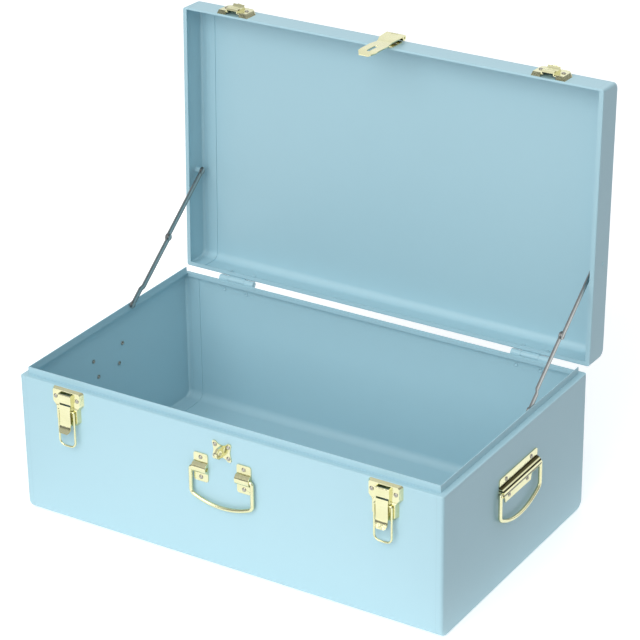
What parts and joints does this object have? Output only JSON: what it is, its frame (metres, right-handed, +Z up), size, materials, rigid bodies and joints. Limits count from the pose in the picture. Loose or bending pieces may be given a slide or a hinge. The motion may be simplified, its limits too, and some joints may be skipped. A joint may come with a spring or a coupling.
{
  "type": "small tin trunk",
  "caption": "Small pale blue steel trunk with its lid open, brass-plated draw latches, hasp and staple, wire handles and folding stays.",
  "frame": {"origin": "centre of the underside, on the surface that the trunk stands on", "axes": "+Z up, +X along the front to the right seen from the front, -Y out of the front, +Y to the hinges"},
  "size_m": [0.5128, 0.3599, 0.4731],
  "materials": {
    "painted_steel": "pale blue powder coat, satin",
    "brass_plate": "bright brass plate",
    "zinc_steel": "zinc plated, satin"
  },
  "bodies": {
    "body": {"body_wrap": "painted_steel", "body_end_left": "painted_steel", "body_end_right": "painted_steel", "hinge_left_body_leaf": "painted_steel", "hinge_left_pin": "painted_steel", "hinge_right_body_leaf": "painted_steel", "hinge_right_pin": "painted_steel", "hinge_body_rivets": "painted_steel", "latch_left_base": "brass_plate", "latch_left_pin": "brass_plate", "latch_right_base": "brass_plate", "latch_right_pin": "brass_plate", "latch_rivets": "brass_plate", "staple_plate": "brass_plate", "staple_loop": "brass_plate", "staple_rivets": "brass_plate", "front_handle_bracket_left": "brass_plate", "front_handle_bracket_right": "brass_plate", "front_handle_rivets": "brass_plate", "side_handle_left_plate": "brass_plate", "side_handle_right_plate": "brass_plate", "side_handle_rivets": "brass_plate"},
    "lid": {"lid_wrap": "painted_steel", "lid_end_left": "painted_steel", "lid_end_right": "painted_steel", "hinge_left_lid_leaf": "painted_steel", "hinge_right_lid_leaf": "painted_steel", "hinge_lid_rivets": "painted_steel", "catch_left": "brass_plate", "catch_right": "brass_plate", "catch_rivets": "brass_plate", "hasp_leaf": "brass_plate", "hasp_pin": "brass_plate", "hasp_rivets": "brass_plate", "stay_left_lid_post": "zinc_steel", "stay_right_lid_post": "zinc_steel"},
    "latch_lever_left": {"latch_left_lever": "brass_plate"},
    "latch_link_left": {"latch_left_link": "brass_plate"},
    "latch_lever_right": {"latch_right_lever": "brass_plate"},
    "latch_link_right": {"latch_right_link": "brass_plate"},
    "hasp": {"hasp_strap": "brass_plate"},
    "front_bail": {"front_handle_bail": "brass_plate"},
    "side_bail_left": {"side_handle_left_bail": "brass_plate"},
    "side_bail_right": {"side_handle_right_bail": "brass_plate"},
    "stay_upper_left": {"stay_left_upper": "zinc_steel", "stay_left_knuckle_rivet": "zinc_steel"},
    "stay_lower_left": {"stay_left_lower": "zinc_steel", "stay_left_foot_rivet": "zinc_steel"},
    "stay_upper_right": {"stay_right_upper": "zinc_steel", "stay_right_knuckle_rivet": "zinc_steel"},
    "stay_lower_right": {"stay_right_lower": "zinc_steel", "stay_right_foot_rivet": "zinc_steel"}
  },
  "joints": [
    {"name": "lid_hinge", "type": "hinge", "parent": "body", "child": "lid", "pos_m": [0, 0.154, 0.158], "axis": [1, 0, 0], "range_deg": [0, 91.8]},
    {"name": "latch_left_lever_swing", "type": "hinge", "parent": "body", "child": "latch_lever_left", "pos_m": [-0.1875, -0.1554, 0.1394], "axis": [-1, 0, 0], "range_deg": [0, 105]},
    {"name": "latch_left_link_swing", "type": "hinge", "parent": "latch_lever_left", "child": "latch_link_left", "pos_m": [-0.1875, -0.156, 0.1354], "axis": [1, 0, 0], "range_deg": [-178, 0]},
    {"name": "latch_right_lever_swing", "type": "hinge", "parent": "body", "child": "latch_lever_right", "pos_m": [0.1875, -0.1554, 0.1394], "axis": [-1, 0, 0], "range_deg": [0, 105]},
    {"name": "latch_right_link_swing", "type": "hinge", "parent": "latch_lever_right", "child": "latch_link_right", "pos_m": [0.1875, -0.156, 0.1354], "axis": [1, 0, 0], "range_deg": [-178, 0]},
    {"name": "hasp_swing", "type": "hinge", "parent": "lid", "child": "hasp", "pos_m": [0, 0.18768, 0.46569], "axis": [-1, 0, 0], "range_deg": [0, 170]},
    {"name": "front_handle_swing", "type": "hinge", "parent": "body", "child": "front_bail", "pos_m": [0, -0.1536, 0.1135], "axis": [-1, 0, 0], "range_deg": [0, 175]},
    {"name": "side_handle_left_swing", "type": "hinge", "parent": "body", "child": "side_bail_left", "pos_m": [-0.2536, 0, 0.108], "axis": [0, 1, 0], "range_deg": [0, 175]},
    {"name": "side_handle_right_swing", "type": "hinge", "parent": "body", "child": "side_bail_right", "pos_m": [0.2536, 0, 0.108], "axis": [0, -1, 0], "range_deg": [0, 175]},
    {"name": "stay_left_head", "type": "hinge", "parent": "lid", "child": "stay_upper_left", "pos_m": [-0.2415, 0.17751, 0.26932], "axis": [1, 0, 0], "range_deg": [0, 31.2]},
    {"name": "stay_left_knuckle", "type": "hinge", "parent": "stay_upper_left", "child": "stay_lower_left", "pos_m": [-0.2407, 0.10775, 0.21591], "axis": [1, 0, 0], "range_deg": [-169.7, 0]},
    {"name": "stay_right_head", "type": "hinge", "parent": "lid", "child": "stay_upper_right", "pos_m": [0.2415, 0.17751, 0.26932], "axis": [1, 0, 0], "range_deg": [0, 31.2]},
    {"name": "stay_right_knuckle", "type": "hinge", "parent": "stay_upper_right", "child": "stay_lower_right", "pos_m": [0.2407, 0.10775, 0.21591], "axis": [1, 0, 0], "range_deg": [-169.7, 0]}
  ],
  "couplings": [
    {"joint": "stay_left_head", "follows": "lid_hinge", "ratio": 0.3384},
    {"joint": "stay_left_knuckle", "follows": "lid_hinge", "ratio": -1.8469},
    {"joint": "stay_right_head", "follows": "lid_hinge", "ratio": 0.3384},
    {"joint": "stay_right_knuckle", "follows": "lid_hinge", "ratio": -1.8469}
  ]
}
